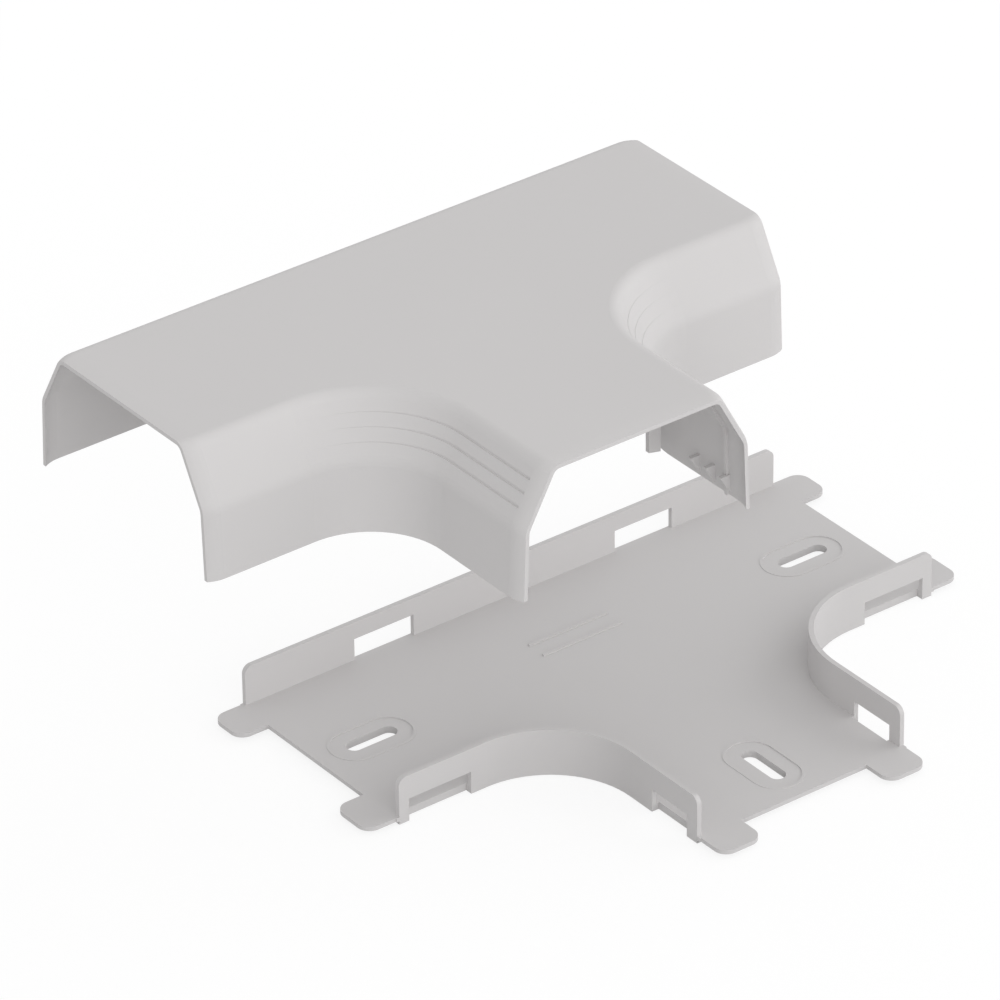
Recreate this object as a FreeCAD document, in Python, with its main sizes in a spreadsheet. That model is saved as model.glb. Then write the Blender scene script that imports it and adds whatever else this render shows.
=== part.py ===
import FreeCAD, Part
import Sketcher
import math
import os
import re

# Tee fitting for 100 x 50 mm cable trunking, in two mouldings: a base that is
# screwed to the wall and a cover that clips over it. Millimetres, +Z away from
# the wall. The origin is on the underside of the base, in the middle of the
# main run. The main run lies along X and the branch points to -Y.
# The cover is drawn as in an exploded view, lifted clear of the base.

doc = FreeCAD.newDocument("trunking_tee")

SIZES = [
    # cover: outer section, measured away from the rims
    ("cover_half_length", 132.5),
    ("cover_branch_length", 132.6),
    ("cover_half_bottom", 53.5),
    ("cover_half_knee", 52.3),
    ("cover_half_top", 39.9),
    ("cover_knee_height", 29.2),
    ("cover_height", 51.8),
    ("cover_wall", 1.6),
    ("knee_bend", 9.0),
    ("shoulder_bend", 5.5),
    ("cover_sweep", 32.4),
    # the rims curl inward over the trunking
    ("rim_length", 6.5),
    ("rim_curl", 1.9),
    ("rim_dip", 0.3),
    # low rib that stops the trunking, set back from the rim of the branch
    ("stop_setback", 12.0),
    ("stop_height", 1.2),
    ("stop_thick", 1.5),
    # cross ribs in the branch that sit over the walls of the base
    ("cross_rib_place", 84.5),
    ("cross_rib_thick", 2.0),
    ("cross_rib_reach", 12.0),
    ("cross_rib_foot", 4.0),
    # fine lines round the two sweeps
    ("line_depth", 0.2),
    ("line_width", 1.3),
    ("line_upper", 45.4),
    ("line_middle", 40.6),
    ("line_lower", 35.8),
    # clip hooks
    ("hook_long", 19.4),
    ("hook_reach", 4.4),
    ("hook_foot", 1.0),
    ("hook_web", 1.8),
    ("hook_play", 1.0),
    # base
    ("base_half", 49.8),
    ("plate_half_length", 130.4),
    ("plate_branch_length", 129.9),
    ("plate_thick", 3.2),
    ("lip_length", 3.6),
    ("lip_low", 1.5),
    ("base_wall", 2.0),
    ("base_wall_height", 20.2),
    ("wall_half_length", 129.1),
    ("wall_branch_length", 128.2),
    ("wall_corner", 3.5),
    ("base_sweep", 38.0),
    # windows in the back wall, and notches in the front and branch walls
    ("window_near", 49.2),
    ("window_far", 77.6),
    ("window_low", 3.2),
    ("window_high", 12.7),
    ("notch_high", 9.8),
    ("notch_deep", 3.2),
    ("notch_setback", 4.6),
    ("notch_long", 29.0),
    ("branch_notch_setback", 6.2),
    ("branch_notch_long", 20.8),
    # tongues that go inside the trunking
    ("tongue_reach", 13.5),
    ("back_tongue_inner", 31.5),
    ("front_tongue_inner", 29.0),
    ("branch_tongue_inner", 30.2),
    ("tongue_outer", 49.3),
    ("tongue_corner", 5.5),
    # screw slots with a raised bead round each
    ("run_slot_place", 105.0),
    ("branch_slot_place", 105.8),
    ("slot_half_long", 11.5),
    ("slot_half_wide", 3.4),
    ("bead_half_long", 18.5),
    ("bead_half_wide", 10.8),
    ("bead_width", 1.2),
    ("bead_height", 0.2),
    ("dish_floor", 3.0),
    # two ridges across the middle of the base
    ("ridge_half_long", 19.0),
    ("ridge_width", 1.4),
    ("ridge_height", 0.6),
    ("ridge_upper", 14.3),
    ("ridge_lower", 5.4),
    # where the lifted cover is drawn
    ("lift_across", -81.0),
    ("lift_up", 140.5),
]

sizes = doc.addObject("Spreadsheet::Sheet", "sizes")
for row, (alias, value) in enumerate(SIZES, 1):
    sizes.set("A%d" % row, alias)
    sizes.set("B%d" % row, str(value))
    sizes.setAlias("B%d" % row, alias)
doc.recompute()

NAMES = {alias for alias, value in SIZES}


def bound(text):
    """The expression text with each size named in the sheet."""
    def named(found):
        word = found.group(0)
        return "sizes." + word if word in NAMES else word
    return re.sub(r"[a-z][a-z_]*", named, text)


def number(text):
    """The present value of an expression."""
    result = sizes.evalExpression(bound(text))
    return float(getattr(result, "Value", result))


def new_body(label):
    body = doc.addObject("PartDesign::Body", label)
    body.Label = label
    return body


def new_sketch(body, name, role, offset=None):
    """A sketch on one of the body's origin planes, moved along its normal."""
    sketch = body.newObject("Sketcher::SketchObject", name)
    plane = [f for f in body.Origin.OriginFeatures if f.Role == role][0]
    sketch.AttachmentSupport = [(plane, "")]
    sketch.MapMode = "FlatFace"
    if offset is not None:
        sketch.AttachmentOffset = FreeCAD.Placement(
            FreeCAD.Vector(0, 0, number(offset)), FreeCAD.Rotation())
        sketch.setExpression(".AttachmentOffset.Base.z", bound(offset))
    return sketch


def pin(sketch, geo, pos, across, up):
    """Hold a point of the sketch at two expressions."""
    for kind, axis, text in (("DistanceX", -2, across), ("DistanceY", -1, up)):
        if text == "0":
            sketch.addConstraint(Sketcher.Constraint("PointOnObject", geo, pos, axis))
            continue
        index = sketch.addConstraint(Sketcher.Constraint(kind, -1, 1, geo, pos, number(text)))
        sketch.setExpression("Constraints[%d]" % index, bound(text))


def outline(sketch, corners, arcs=None):
    """A closed outline through corners (across, up) or (across, up, bend).

    A corner with a bend is rounded by a tangent arc. arcs maps the number of
    an edge to the centre (across, up) of the arc that replaces the line.
    """
    arcs = arcs or {}
    count = len(corners)
    spots = [FreeCAD.Vector(number(c[0]), number(c[1]), 0) for c in corners]
    starts, ends, bends = [], [], {}
    for i, corner in enumerate(corners):
        if len(corner) == 2:
            starts.append(spots[i])
            ends.append(spots[i])
            continue
        before = (spots[i - 1] - spots[i]).normalize()
        after = (spots[(i + 1) % count] - spots[i]).normalize()
        half = before.getAngle(after) / 2
        radius = number(corner[2])
        reach = radius / math.tan(half)
        middle = (before + after).normalize()
        centre = spots[i] + middle * (radius / math.sin(half))
        ends.append(spots[i] + before * reach)
        starts.append(spots[i] + after * reach)
        bends[i] = (centre, radius)
    edges = []
    for i in range(count):
        j = (i + 1) % count
        if i in arcs:
            centre = FreeCAD.Vector(number(arcs[i][0]), number(arcs[i][1]), 0)
            inner = (starts[i] + ends[j]) * 0.5 - centre
            middle = centre + inner.normalize() * (starts[i] - centre).Length
            shape = Part.Arc(starts[i], middle, ends[j])
        else:
            shape = Part.LineSegment(starts[i], ends[j])
        edges.append(sketch.addGeometry(shape, False))

    def tips(geo, first, last):
        """Which end of the geometry lies at first and which at last."""
        near = (sketch.getPoint(geo, 1) - first).Length
        far = (sketch.getPoint(geo, 2) - first).Length
        return (1, 2) if near < far else (2, 1)

    turn = [tips(edges[i], starts[i], ends[(i + 1) % count]) for i in range(count)]
    for i in range(count):
        edge_in, tip_in = edges[i - 1], turn[i - 1][1]
        edge_out, tip_out = edges[i], turn[i][0]
        if i not in bends:
            sketch.addConstraint(Sketcher.Constraint("Coincident", edge_in, tip_in, edge_out, tip_out))
            pin(sketch, edge_out, tip_out, corners[i][0], corners[i][1])
            continue
        centre, radius = bends[i]
        away = (spots[i] - centre).normalize()
        arc = sketch.addGeometry(Part.Arc(ends[i], centre + away * radius, starts[i]), False)
        first, last = tips(arc, ends[i], starts[i])
        sketch.addConstraint(Sketcher.Constraint("Tangent", edge_in, tip_in, arc, first))
        sketch.addConstraint(Sketcher.Constraint("Tangent", arc, last, edge_out, tip_out))
        index = sketch.addConstraint(Sketcher.Constraint("Radius", arc, radius))
        sketch.setExpression("Constraints[%d]" % index, bound(corners[i][2]))
        vertex = sketch.addGeometry(Part.Point(spots[i]), True)
        pin(sketch, vertex, 1, corners[i][0], corners[i][1])
        sketch.addConstraint(Sketcher.Constraint("PointOnObject", vertex, 1, edge_in))
        sketch.addConstraint(Sketcher.Constraint("PointOnObject", vertex, 1, edge_out))
    for i, centre in arcs.items():
        if centre[0] == "0":
            sketch.addConstraint(Sketcher.Constraint("PointOnObject", edges[i], 3, -2))
            continue
        index = sketch.addConstraint(
            Sketcher.Constraint("DistanceX", -1, 1, edges[i], 3, number(centre[0])))
        sketch.setExpression("Constraints[%d]" % index, bound(centre[0]))
    return sketch


def mirror_corners(side):
    """The corners of one side, from the bottom up, and their mirror image."""
    other = [("-(" + c[0] + ")",) + tuple(c[1:]) for c in reversed(side)]
    return list(side) + other


def pad(body, sketch, length, backwards=False):
    feature = body.newObject("PartDesign::Pad", sketch.Name + "_pad")
    feature.Profile = sketch
    feature.setExpression("Length", bound(length))
    feature.Reversed = backwards
    sketch.Visibility = False
    return feature


def pocket(body, sketch, length, backwards=False):
    feature = body.newObject("PartDesign::Pocket", sketch.Name + "_pocket")
    feature.Profile = sketch
    feature.setExpression("Length", bound(length))
    feature.Reversed = backwards
    return feature


def loft(body, kind, sketches):
    feature = body.newObject("PartDesign::" + kind, sketches[0].Name + "_loft")
    feature.Profile = sketches[0]
    feature.Sections = sketches[1:]
    feature.Ruled = False
    return feature


def turned(body, kind, sketch, axis, backwards):
    """A quarter turn of the sketch about its own upright construction line."""
    feature = body.newObject("PartDesign::" + kind, sketch.Name + "_turn")
    feature.Profile = sketch
    feature.ReferenceAxis = (sketch, ["Axis0"])
    feature.Angle = 90
    feature.Reversed = backwards
    return feature


def upright(sketch, across):
    """The construction line that a quarter turn goes round."""
    place = number(across)
    line = sketch.addGeometry(Part.LineSegment(
        FreeCAD.Vector(place, 0, 0), FreeCAD.Vector(place, 60, 0)), True)
    sketch.addConstraint(Sketcher.Constraint("Vertical", line))
    pin(sketch, line, 1, across, "0")
    sketch.addConstraint(Sketcher.Constraint("DistanceY", line, 1, line, 2, 60.0))


def mirrored(body):
    """The whole body and its image across the plane x = 0."""
    feature = body.newObject("PartDesign::Mirrored", body.Name + "_both_sides")
    plane = [f for f in body.Origin.OriginFeatures if f.Role == "YZ_Plane"][0]
    feature.MirrorPlane = (plane, [""])
    feature.TransformMode = "Whole shape" if "Whole shape" in feature.getEnumerationsOfProperty(
        "TransformMode") else feature.getEnumerationsOfProperty("TransformMode")[-1]
    body.Tip = feature
    return feature


# The section of the cover. An inset of 0 is the outer face. The wall leans in
# by the draft, the shoulder leans further, and each corner moves along its
# own bisector as the section shrinks.
DRAFT = "atan((cover_half_bottom - cover_half_knee) / cover_knee_height)"
LEAN = "atan((cover_half_knee - cover_half_top) / (cover_height - cover_knee_height))"


def side_corners(inset, open_below, ease, drop):
    """One side of the section from the bottom to the shoulder.

    inset moves the wall and the shoulder in, drop moves the top down.
    """
    foot = "cover_half_bottom - (%s) / cos(%s)" % (inset, DRAFT)
    split = "cos((%s - %s) / 2)" % (LEAN, DRAFT)
    knee = "cover_half_knee - (%s) * cos((%s + %s) / 2) / %s" % (inset, LEAN, DRAFT, split)
    knee_up = "cover_knee_height - (%s) * sin((%s + %s) / 2) / %s" % (inset, LEAN, DRAFT, split)
    drop = drop or inset
    edge = "cover_half_top + (%s) * tan(%s) - (%s) / cos(%s)" % (drop, LEAN, inset, LEAN)
    edge_up = "cover_height - (%s)" % drop
    corners = [(foot, "0")]
    if open_below:
        corners = [(foot, "-2"), (foot, "0.01")]
    corners.append((knee, knee_up, "knee_bend * %s" % ease))
    corners.append((edge, edge_up, "shoulder_bend * %s" % ease))
    return corners


def full_section(sketch, inset, open_below=False, ease="1", drop=None):
    return outline(sketch, mirror_corners(side_corners(inset, open_below, ease, drop)))


def half_section(sketch, inset, open_below=False, ease="1", drop=None, inner="0"):
    corners = side_corners(inset, open_below, ease, drop)
    corners.append((inner, corners[-1][1]))
    corners.append((inner, corners[0][1]))
    return outline(sketch, corners)


# The cover, right half. The left half is its mirror image.
cover = new_body("tee_cover")
CORE = "cover_wall"
SWEEP = "(cover_half_bottom + cover_sweep)"
RUN_STRAIGHT = "cover_half_length - rim_length"
BRANCH_STRAIGHT = "cover_branch_length - rim_length"

pad(cover, full_section(new_sketch(cover, "run", "YZ_Plane"), "0"), RUN_STRAIGHT)
pad(cover, half_section(new_sketch(cover, "branch", "XZ_Plane"), "0"), BRANCH_STRAIGHT)
sweep = new_sketch(cover, "sweep", "XZ_Plane", SWEEP)
half_section(sweep, "0", inner="-0.4 * " + SWEEP)
upright(sweep, SWEEP)
turned(cover, "Revolution", sweep, SWEEP, True)

# rims: three sections on a curve, so the curl starts along the wall
STEPS = (("0", "0"), ("rim_length / 2", "0.25"), ("rim_length", "1"))


def rim(kind, name, plane, straight, draw, inset, open_below, ease):
    sections = []
    for step, (along, share) in enumerate(STEPS):
        sketch = new_sketch(cover, "%s_%d" % (name, step), plane, "%s + %s" % (straight, along))
        draw(sketch, "%s + rim_curl * %s" % (inset, share), open_below=open_below, ease=ease,
             drop="%s + rim_dip * %s" % (inset, share))
        sections.append(sketch)
    return loft(cover, kind, sections)


rim("AdditiveLoft", "run_rim", "YZ_Plane", RUN_STRAIGHT, full_section, "0", False, "1")
rim("AdditiveLoft", "branch_rim", "XZ_Plane", BRANCH_STRAIGHT, half_section, "0", False, "1")

# the hollow
pocket(cover, full_section(new_sketch(cover, "run_hollow", "YZ_Plane", RUN_STRAIGHT), CORE, True, "0.6"),
       RUN_STRAIGHT + " + 5")
pocket(cover, half_section(new_sketch(cover, "branch_hollow", "XZ_Plane", BRANCH_STRAIGHT), CORE, True,
                           "0.6"), BRANCH_STRAIGHT)
sweep_hollow = new_sketch(cover, "sweep_hollow", "XZ_Plane", SWEEP)
half_section(sweep_hollow, CORE, True, "0.6", inner="-0.41 * " + SWEEP)
upright(sweep_hollow, SWEEP)
turned(cover, "Groove", sweep_hollow, SWEEP, True)
rim("SubtractiveLoft", "run_mouth", "YZ_Plane", RUN_STRAIGHT, full_section, CORE, True, "0.6")
rim("SubtractiveLoft", "branch_mouth", "XZ_Plane", BRANCH_STRAIGHT, half_section, CORE, True, "0.6")


# stop rib: a full diaphragm of the thickness of the rib, opened to its height
STOP_EDGE = CORE + " + stop_height"


def stop_rib(name, plane, draw, place):
    pad(cover, draw(new_sketch(cover, name, plane, place), "cover_wall / 2"), "stop_thick", True)
    pocket(cover, draw(new_sketch(cover, name + "_open", plane, place + " + 1"), STOP_EDGE, True, "0.6"),
           "stop_thick + 2")


stop_rib("branch_stop", "XZ_Plane", half_section, "cover_branch_length - stop_setback")

# cross rib: a tab inside the wall of the base, joined to the shoulder above it
SHOULDER_SLOPE = "(cover_half_knee - cover_half_top) / (cover_height - cover_knee_height)"
RIB_TOP = "cover_knee_height + (cross_rib_reach - cover_half_bottom + cover_half_knee) / (%s)" % SHOULDER_SLOPE
outline(new_sketch(cover, "cross_rib", "XZ_Plane", "cross_rib_place"), [
    ("cover_half_knee - cover_wall / 2", "base_wall_height + 1.5"),
    ("cover_half_knee - cover_wall / 2", "cover_knee_height"),
    ("cover_half_bottom - cross_rib_reach", RIB_TOP + " - cover_wall"),
    ("cover_half_bottom - cross_rib_reach", "cross_rib_foot + 1.2"),
    ("base_half - base_wall - 0.9", "cross_rib_foot"),
    ("base_half - base_wall - 0.9", "base_wall_height + 1.5"),
])
pad(cover, cover.Group[-1], "cross_rib_thick")


# hooks: three barbs in a row, flat on top to catch under the upper edge of a
# notch or window, and sloping below to ride over the wall as the cover goes on
def hook(name, plane, start, top, flip):
    """start: where the row begins; top: how high the barbs catch."""
    sign = "-" if flip else ""
    wall = "(cover_half_bottom - cover_wall)"
    tip = "(cover_half_bottom - cover_wall - hook_reach)"
    for place in ("0", "(hook_long - hook_web) / 2", "hook_long - hook_web"):
        web = new_sketch(cover, "%s_web" % name, plane, "%s - (%s)" % (start, place))
        outline(web, [(sign + wall, "hook_foot"), (sign + wall, top),
                      (sign + tip, top), (sign + tip, top + " - 0.8")])
        pad(cover, web, "hook_web", True)


NOTCH_TOP = "(notch_high - hook_play)"
WINDOW_TOP = "(window_high - hook_play)"
BRANCH_HOOK = "(wall_branch_length - branch_notch_setback - (branch_notch_long - hook_long) / 2)"
RUN_HOOK = "(wall_half_length - notch_setback - (notch_long - hook_long) / 2)"
BACK_HOOK = "(window_far - (window_far - window_near - hook_long) / 2)"
hook("branch_hook", "XZ_Plane", BRANCH_HOOK, NOTCH_TOP, False)
hook("front_hook", "YZ_Plane", RUN_HOOK, NOTCH_TOP, True)
hook("back_hook", "YZ_Plane", BACK_HOOK, WINDOW_TOP, False)

# three fine lines on the shoulder of the sweep: straight from the rim of the
# branch, then round a circle set a little off the sweep, so that they fade out
# before the main run
LINES = ("line_upper", "line_middle", "line_lower")
LINE_REACH = "(line_depth + line_width / 2 * %s)" % SHOULDER_SLOPE


def line_corners(up):
    face = "cover_half_knee - (%s - cover_knee_height) * %s" % (up, SHOULDER_SLOPE)
    return [(face + " - line_depth", up + " - line_width / 2"), (face + " + 2", up + " - line_width / 2"),
            (face + " + 2", up + " + line_width / 2"), (face + " - line_depth", up + " + line_width / 2")]


for up in LINES:
    straight = new_sketch(cover, up + "_straight", "XZ_Plane", BRANCH_STRAIGHT)
    outline(straight, line_corners(up))
    pocket(cover, straight, "%s - %s" % (BRANCH_STRAIGHT, SWEEP))
    fading = new_sketch(cover, up + "_fading", "XZ_Plane", "%s + 0.95 * %s" % (SWEEP, LINE_REACH))
    outline(fading, line_corners(up))
    upright(fading, SWEEP)
    turned(cover, "Groove", fading, SWEEP, True)

doc.recompute()
mirrored(cover)
cover.setExpression("Placement.Base.x", bound("lift_across"))
cover.setExpression("Placement.Base.z", bound("lift_up"))

# The base, right half.
base = new_body("tee_base")
BEND = "(base_half + base_sweep)"
FRONT = "-base_half"
plate = new_sketch(base, "plate", "XY_Plane")
outline(plate, [
    ("0", "base_half"),
    ("plate_half_length", "base_half"),
    ("plate_half_length", FRONT),
    (BEND, FRONT),
    ("base_half", "-" + BEND),
    ("base_half", "-plate_branch_length"),
    ("0", "-plate_branch_length"),
], {3: (BEND, "-" + BEND)})
pad(base, plate, "plate_thick")

# walls: one straight at the back, one from the front round into the branch
back = new_sketch(base, "back_wall", "XY_Plane")
outline(back, [
    ("0", "base_half - base_wall"),
    ("wall_half_length", "base_half - base_wall"),
    ("wall_half_length", "base_half"),
    ("0", "base_half"),
])
pad(base, back, "base_wall_height")
front = new_sketch(base, "front_wall", "XY_Plane")
outline(front, [
    ("wall_half_length", FRONT),
    ("wall_half_length", FRONT + " + base_wall"),
    (BEND, FRONT + " + base_wall"),
    ("base_half - base_wall", "-" + BEND),
    ("base_half - base_wall", "-wall_branch_length"),
    ("base_half", "-wall_branch_length"),
    ("base_half", "-" + BEND),
    (BEND, FRONT),
], {2: (BEND, "-" + BEND), 6: (BEND, "-" + BEND)})
pad(base, front, "base_wall_height")
doc.recompute()


def upper_ends(shape, places):
    """Names of the short edges at the top of the wall ends."""
    found = []
    for index, edge in enumerate(shape.Edges, 1):
        middle = edge.CenterOfMass
        for place in places:
            if (middle - place).Length < 0.6:
                found.append("Edge%d" % index)
    return found


half = number("base_half")
inner = half - number("base_wall") / 2
top = number("base_wall_height")
ends = upper_ends(base.Shape, [
    FreeCAD.Vector(number("wall_half_length"), inner, top),
    FreeCAD.Vector(number("wall_half_length"), -inner, top),
    FreeCAD.Vector(inner, -number("wall_branch_length"), top),
])
walls = base.Tip
corner = base.newObject("PartDesign::Fillet", "wall_corners")
corner.Base = (walls, ends)
corner.setExpression("Radius", bound("wall_corner"))

# tongues
def tongue(name, far, flip):
    """far: how far the plate reaches; the tongue sits beyond it."""
    sketch = new_sketch(base, name, "XY_Plane")
    tip = "(%s + tongue_reach)" % far
    root = "(%s - 6)" % far
    near = name + "_inner"
    if name == "branch_tongue":
        corners = [(near, "-" + root), ("tongue_outer", "-" + root),
                   ("tongue_outer", "-" + tip, "tongue_corner"), (near, "-" + tip, "tongue_corner")]
    else:
        sign = "-" if flip else ""
        corners = [(root, sign + near), (root, sign + "tongue_outer"),
                   (tip, sign + "tongue_outer", "tongue_corner"), (tip, sign + near, "tongue_corner")]
    pad(base, outline(sketch, corners), "plate_thick")


tongue("back_tongue", "plate_half_length", False)
tongue("front_tongue", "plate_half_length", True)
tongue("branch_tongue", "plate_branch_length", False)

# the ends of the plate and the tongues are cut away below, so that the floor of
# the trunking slips under them
run_lip = new_sketch(base, "run_lip", "XY_Plane")
LIP_SIDE = "base_half - base_wall"
LIP_START = "plate_half_length - lip_length"
outline(run_lip, [(LIP_START, "-(%s)" % LIP_SIDE), ("plate_half_length + 20", "-(%s)" % LIP_SIDE),
                  ("plate_half_length + 20", LIP_SIDE), (LIP_START, LIP_SIDE)])
pocket(base, run_lip, "lip_low", True)
run_tongues = new_sketch(base, "run_tongues", "XY_Plane")
outline(run_tongues, [("wall_half_length", "-base_half - 1"), ("plate_half_length + 20", "-base_half - 1"),
                      ("plate_half_length + 20", "base_half + 1"), ("wall_half_length", "base_half + 1")])
pocket(base, run_tongues, "lip_low", True)
branch_lip = new_sketch(base, "branch_lip", "XY_Plane")
outline(branch_lip, [("0", "-(plate_branch_length - lip_length)"), ("0", "-(plate_branch_length + 20)"),
                     (LIP_SIDE, "-(plate_branch_length + 20)"), (LIP_SIDE, "-(plate_branch_length - lip_length)")])
pocket(base, branch_lip, "lip_low", True)
branch_under = new_sketch(base, "branch_tongues", "XY_Plane")
outline(branch_under, [("0", "-wall_branch_length"), ("0", "-(plate_branch_length + 20)"),
                       ("base_half + 1", "-(plate_branch_length + 20)"), ("base_half + 1", "-wall_branch_length")])
pocket(base, branch_under, "lip_low", True)

# window in the back wall
window = new_sketch(base, "window", "XZ_Plane", "-base_half - 1")
outline(window, [("window_near", "window_low"), ("window_far", "window_low"),
                 ("window_far", "window_high"), ("window_near", "window_high")])
pocket(base, window, "base_wall + 2", True)

# notches: through the wall and into the edge of the plate
NOTCH_BACK = "base_half - notch_deep"
NOTCH_END = "wall_half_length - notch_setback"
BRANCH_NOTCH_END = "wall_branch_length - branch_notch_setback"
front_notch = new_sketch(base, "front_notch", "XY_Plane")
outline(front_notch, [("%s - notch_long" % NOTCH_END, "-(%s)" % NOTCH_BACK), (NOTCH_END, "-(%s)" % NOTCH_BACK),
                      (NOTCH_END, "-base_half - 1"), ("%s - notch_long" % NOTCH_END, "-base_half - 1")])
pocket(base, front_notch, "notch_high", True)
branch_notch = new_sketch(base, "branch_notch", "XY_Plane")
outline(branch_notch, [(NOTCH_BACK, "-(%s)" % BRANCH_NOTCH_END), ("base_half + 1", "-(%s)" % BRANCH_NOTCH_END),
                       ("base_half + 1", "-(%s - branch_notch_long)" % BRANCH_NOTCH_END),
                       (NOTCH_BACK, "-(%s - branch_notch_long)" % BRANCH_NOTCH_END)])
pocket(base, branch_notch, "notch_high", True)


# screw slots, each inside a raised bead
def slot_outline(sketch, along, centre, half_long, half_wide):
    """An obround whose long axis lies along its arm, from quarter arcs."""
    straight = "(%s) + (%s)" % (half_long, "-(" + half_wide + ")")
    if along == "X":
        right = "%s + (%s)" % (centre, straight)
        left = "%s - (%s)" % (centre, straight)
        return outline(sketch, [
            (right, "-(%s)" % half_wide),
            ("%s + (%s)" % (centre, half_long), "0"),
            (right, half_wide),
            (left, half_wide),
            ("%s - (%s)" % (centre, half_long), "0"),
            (left, "-(%s)" % half_wide),
        ], {0: (right, "0"), 1: (right, "0"), 3: (left, "0"), 4: (left, "0")})
    low = "-%s - (%s)" % (centre, straight)
    high = "-%s + (%s)" % (centre, straight)
    return outline(sketch, [
        ("0", "-%s - (%s)" % (centre, half_long)),
        (half_wide, low),
        (half_wide, high),
        ("0", "-%s + (%s)" % (centre, half_long)),
    ], {0: ("0", low), 2: ("0", high)})


for name, along in (("run", "X"), ("branch", "Y")):
    centre = name + "_slot_place"
    bead = new_sketch(base, name + "_bead", "XY_Plane")
    slot_outline(bead, along, centre, "bead_half_long", "bead_half_wide")
    pad(base, bead, "plate_thick + bead_height")
    dish = new_sketch(base, name + "_dish", "XY_Plane", "dish_floor")
    slot_outline(dish, along, centre, "bead_half_long - bead_width", "bead_half_wide - bead_width")
    pocket(base, dish, "plate_thick + 1", True)
    slot = new_sketch(base, name + "_slot", "XY_Plane", "-1")
    slot_outline(slot, along, centre, "slot_half_long", "slot_half_wide")
    pocket(base, slot, "plate_thick + 2", True)

# two ridges across the middle
for name in ("ridge_upper", "ridge_lower"):
    ridge = new_sketch(base, name + "_sketch", "XY_Plane")
    outline(ridge, [("0", name + " - ridge_width / 2"), ("ridge_half_long", name + " - ridge_width / 2"),
                    ("ridge_half_long", name + " + ridge_width / 2"), ("0", name + " + ridge_width / 2")])
    pad(base, ridge, "plate_thick + ridge_height")

doc.recompute()
mirrored(base)
doc.recompute()

faults = []
for thing in doc.Objects:
    if "Invalid" in thing.State or "Error" in thing.State:
        faults.append("%s %s" % (thing.Name, thing.State))
for body in (base, cover):
    shape = body.Shape
    if shape.isNull() or not shape.isValid() or len(shape.Solids) != 1:
        faults.append("%s is not one valid solid" % body.Label)
if faults:
    raise RuntimeError("; ".join(faults))

os.makedirs("parts", exist_ok=True)
for body in (base, cover):
    shape = body.Shape
    box = shape.BoundBox
    print(body.Label, "volume", round(shape.Volume), "solids", len(shape.Solids),
          "faces", len(shape.Faces), "box", box)
    shape.exportStep("parts/%s.step" % body.Label)
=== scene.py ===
import bpy
import math
from mathutils import Matrix, Vector


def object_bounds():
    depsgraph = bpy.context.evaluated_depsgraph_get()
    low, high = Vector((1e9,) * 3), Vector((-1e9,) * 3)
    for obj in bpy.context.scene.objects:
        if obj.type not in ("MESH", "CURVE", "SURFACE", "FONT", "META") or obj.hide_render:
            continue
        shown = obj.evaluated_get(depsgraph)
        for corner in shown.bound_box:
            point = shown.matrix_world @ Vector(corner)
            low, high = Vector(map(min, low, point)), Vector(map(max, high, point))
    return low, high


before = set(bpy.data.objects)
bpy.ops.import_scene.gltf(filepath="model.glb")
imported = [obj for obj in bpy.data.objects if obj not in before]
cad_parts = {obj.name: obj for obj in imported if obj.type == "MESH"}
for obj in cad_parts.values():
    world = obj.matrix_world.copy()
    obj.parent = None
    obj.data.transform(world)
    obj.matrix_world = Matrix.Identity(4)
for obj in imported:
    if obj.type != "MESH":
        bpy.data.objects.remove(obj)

cad_low, cad_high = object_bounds()

# Camera: the photograph's viewing angle in degrees, from a long lens. Places are in metres.
AZIMUTH = -37.006
ELEVATION = 31.587
ROLL = -0.688
DISTANCE = 3.059
PIXELS_PER_METRE = 2650.3
TARGET = Vector((-0.04072, 0.00283, 0.08298))
IMAGE = 1000
SENSOR_WIDTH = 36
FAR_CLIP = 100

# The floor lies just under the base.
FLOOR_DROP = 0.0004
FLOOR_REACH = 6.0

# The light bounces off the pale colour. The camera sees a grey, which takes the shadows, with a
# glow added, and in full light the grey and the glow together are white.
PALE_FLOOR = 0.70
SEEN_FLOOR = 0.18
SEEN_FLOOR_GLOW = 0.84

# Light: an even surround, and two broad low lamps as strength and direction towards the lamp.
AMBIENT = 0.70
SEEN_WORLD = 1.0
LAMP_SPREAD = 60
LAMPS = {
    "right": (1.0, (1.0, -0.35, 0.30)),
    "front": (0.95, (-0.25, -0.95, 0.38)),
}

# Moulded plastic: its colour in sRGB, and how tint and gloss vary with the flow of the material.
PLASTIC = (0.81, 0.802, 0.801)
IOR = 1.46
SPECULAR_LEVEL = 0.25
FLOW_SCALE, FLOW_DETAIL = 14.0, 3.0
TINT_LOW, TINT_HIGH = 0.985, 1.015
ROUGHNESS_LOW, ROUGHNESS_HIGH = 0.52, 0.60

# Grain of the mould: spots of about half a millimetre.
GRAIN_SCALE, GRAIN_DETAIL = 1800.0, 2.0
GRAIN_STRENGTH, GRAIN_HEIGHT = 0.06, 0.0001

# Sockets of the colour form of the Mix node, which share their names with its other forms
MIX_FACTOR, MIX_A, MIX_B, MIX_RESULT = 0, 6, 7, 2

WHITE = (1, 1, 1, 1)


def linear(value):
    """One channel of a colour as the shader takes it."""
    return value / 12.92 if value <= 0.04045 else ((value + 0.055) / 1.055) ** 2.4


def grey(value):
    return value, value, value, 1


def node_material(name):
    material = bpy.data.materials.new(name)
    material.use_nodes = True
    nodes = material.node_tree.nodes
    nodes.clear()
    return material, nodes, material.node_tree.links


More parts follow.
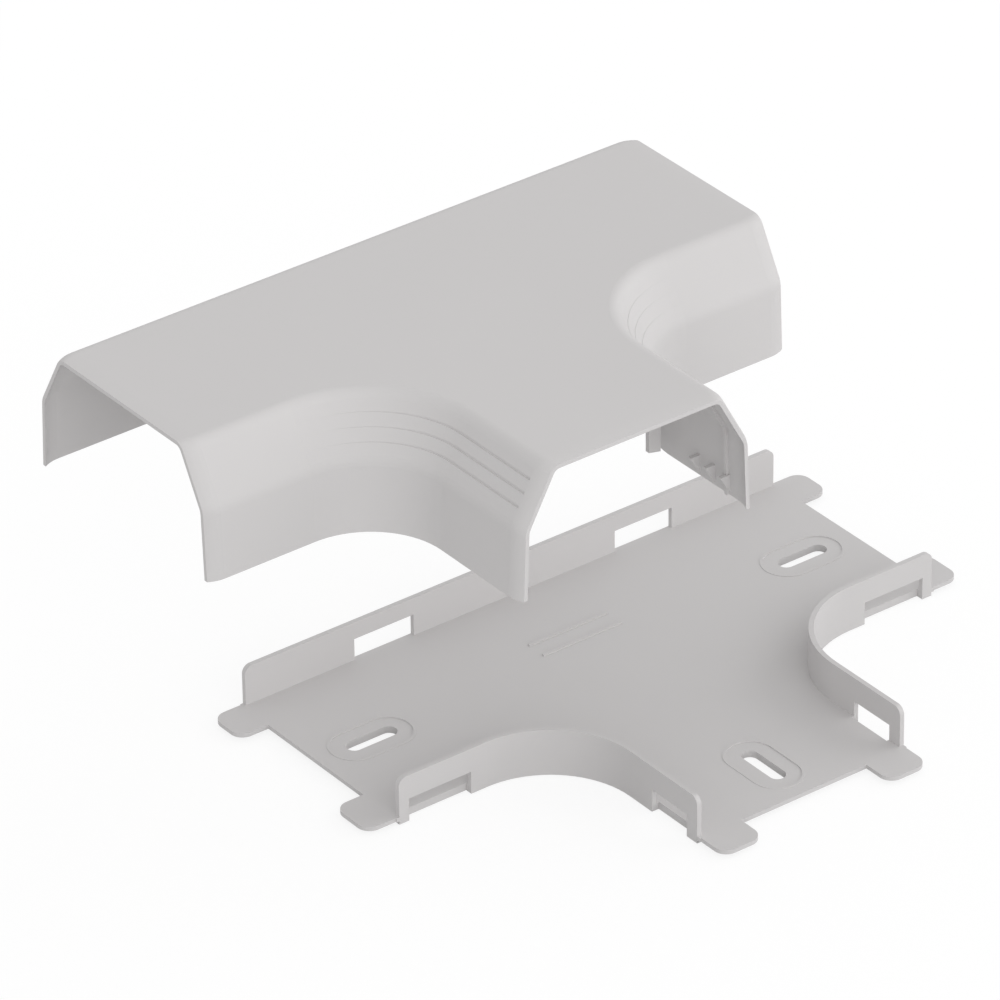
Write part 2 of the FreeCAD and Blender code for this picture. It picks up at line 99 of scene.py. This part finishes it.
def noise(nodes, links, place, scale, detail):
    """Noise over the piece's own coordinates, as a value from 0 to 1."""
    texture = nodes.new("ShaderNodeTexNoise")
    texture.inputs["Scale"].default_value = scale
    texture.inputs["Detail"].default_value = detail
    links.new(place.outputs["Object"], texture.inputs["Vector"])
    return texture.outputs["Fac"]


def moulded_plastic(name, colour):
    """Satin moulding: an almost even colour, a fine spark-eroded grain and slow flow shading."""
    material, nodes, links = node_material(name)
    out = nodes.new("ShaderNodeOutputMaterial")
    shader = nodes.new("ShaderNodeBsdfPrincipled")
    shader.inputs["IOR"].default_value = IOR
    shader.inputs["Specular IOR Level"].default_value = SPECULAR_LEVEL
    links.new(shader.outputs["BSDF"], out.inputs["Surface"])
    place = nodes.new("ShaderNodeTexCoord")

    flow = noise(nodes, links, place, FLOW_SCALE, FLOW_DETAIL)
    tint = nodes.new("ShaderNodeMix")
    tint.data_type = "RGBA"
    base = [linear(c) for c in colour]
    tint.inputs[MIX_A].default_value = [c * TINT_LOW for c in base] + [1]
    tint.inputs[MIX_B].default_value = [min(1, c * TINT_HIGH) for c in base] + [1]
    links.new(flow, tint.inputs[MIX_FACTOR])
    links.new(tint.outputs[MIX_RESULT], shader.inputs["Base Color"])

    sheen = nodes.new("ShaderNodeMapRange")
    sheen.inputs["To Min"].default_value = ROUGHNESS_LOW
    sheen.inputs["To Max"].default_value = ROUGHNESS_HIGH
    links.new(flow, sheen.inputs["Value"])
    links.new(sheen.outputs["Result"], shader.inputs["Roughness"])

    bump = nodes.new("ShaderNodeBump")
    bump.inputs["Strength"].default_value = GRAIN_STRENGTH
    bump.inputs["Distance"].default_value = GRAIN_HEIGHT
    links.new(noise(nodes, links, place, GRAIN_SCALE, GRAIN_DETAIL), bump.inputs["Height"])
    links.new(bump.outputs["Normal"], shader.inputs["Normal"])
    return material


def seen_directly(nodes, links):
    """1 for a ray from the camera, off a glossy face or through a clear one, 0 for the others."""
    path = nodes.new("ShaderNodeLightPath")
    either = nodes.new("ShaderNodeMath")
    either.operation = "MAXIMUM"
    links.new(path.outputs["Is Camera Ray"], either.inputs[0])
    links.new(path.outputs["Is Glossy Ray"], either.inputs[1])
    any_of = nodes.new("ShaderNodeMath")
    any_of.operation = "MAXIMUM"
    links.new(either.outputs["Value"], any_of.inputs[0])
    links.new(path.outputs["Is Transmission Ray"], any_of.inputs[1])
    return any_of.outputs["Value"]


def pick_by_ray(nodes, links, unseen, seen, surface):
    """Sends one shader to the output for the light's bounces and another for what is seen."""
    pick = nodes.new("ShaderNodeMixShader")
    links.new(seen_directly(nodes, links), pick.inputs[0])
    links.new(unseen, pick.inputs[1])
    links.new(seen, pick.inputs[2])
    links.new(pick.outputs["Shader"], surface)


def floor_material():
    """Pale floor for the light; to the camera it is white, with a part of the shadow kept."""
    material, nodes, links = node_material("floor_white")
    out = nodes.new("ShaderNodeOutputMaterial")
    pale = nodes.new("ShaderNodeBsdfDiffuse")
    pale.inputs["Color"].default_value = grey(PALE_FLOOR)
    shaded = nodes.new("ShaderNodeBsdfDiffuse")
    shaded.inputs["Color"].default_value = grey(SEEN_FLOOR)
    glow = nodes.new("ShaderNodeEmission")
    glow.inputs["Strength"].default_value = SEEN_FLOOR_GLOW
    bright = nodes.new("ShaderNodeAddShader")
    links.new(shaded.outputs["BSDF"], bright.inputs[0])
    links.new(glow.outputs["Emission"], bright.inputs[1])
    pick_by_ray(nodes, links, pale.outputs["BSDF"], bright.outputs["Shader"],
                out.inputs["Surface"])
    return material


def background(nodes, strength):
    """White surround of one strength."""
    shader = nodes.new("ShaderNodeBackground")
    shader.inputs["Color"].default_value = WHITE
    shader.inputs["Strength"].default_value = strength
    return shader.outputs["Background"]


plastic = {
    "tee_base": moulded_plastic("base_plastic", PLASTIC),
    "tee_cover": moulded_plastic("cover_plastic", PLASTIC),
}
for name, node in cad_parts.items():
    for place in node.material_slots:
        place.material = plastic[name]

# Floor
low = cad_low.z - FLOOR_DROP
mesh = bpy.data.meshes.new("floor")
corners = [(-1, -1), (1, -1), (1, 1), (-1, 1)]
mesh.from_pydata([(x * FLOOR_REACH, y * FLOOR_REACH, low) for x, y in corners],
                 [], [(0, 1, 2, 3)])
floor = bpy.data.objects.new("floor", mesh)
floor.data.materials.append(floor_material())
bpy.context.scene.collection.objects.link(floor)

# World: white to the camera, soft even light from all round
world = bpy.data.worlds.new("studio")
bpy.context.scene.world = world
world.use_nodes = True
nodes, links = world.node_tree.nodes, world.node_tree.links
nodes.clear()
out = nodes.new("ShaderNodeOutputWorld")
pick_by_ray(nodes, links, background(nodes, AMBIENT), background(nodes, SEEN_WORLD),
            out.inputs["Surface"])

# Broad lamps, low enough to reach under the lifted cover
for name, (strength, source) in LAMPS.items():
    data = bpy.data.lights.new(name, "SUN")
    data.energy = strength
    data.angle = math.radians(LAMP_SPREAD)
    lamp = bpy.data.objects.new(name, data)
    lamp.rotation_euler = Vector(source).to_track_quat("Z", "Y").to_euler()
    bpy.context.scene.collection.objects.link(lamp)

# Camera
angle, rise, roll = math.radians(AZIMUTH), math.radians(ELEVATION), math.radians(ROLL)
back = Vector((math.sin(angle) * math.cos(rise),
               -math.cos(angle) * math.cos(rise),
               math.sin(rise)))
right = Vector((math.cos(angle), math.sin(angle), 0))
up = back.cross(right)
across = right * math.cos(roll) + up * math.sin(roll)
above = up * math.cos(roll) - right * math.sin(roll)
view = bpy.data.cameras.new("view")
view.sensor_width = SENSOR_WIDTH
view.lens = PIXELS_PER_METRE * DISTANCE / IMAGE * view.sensor_width
view.clip_end = FAR_CLIP
camera = bpy.data.objects.new("view", view)
camera.matrix_world = Matrix.Translation(TARGET + back * DISTANCE) @ Matrix(
    (across, above, back)).transposed().to_4x4()
bpy.context.scene.collection.objects.link(camera)
bpy.context.scene.camera = camera

bpy.context.scene.view_settings.view_transform = "Standard"
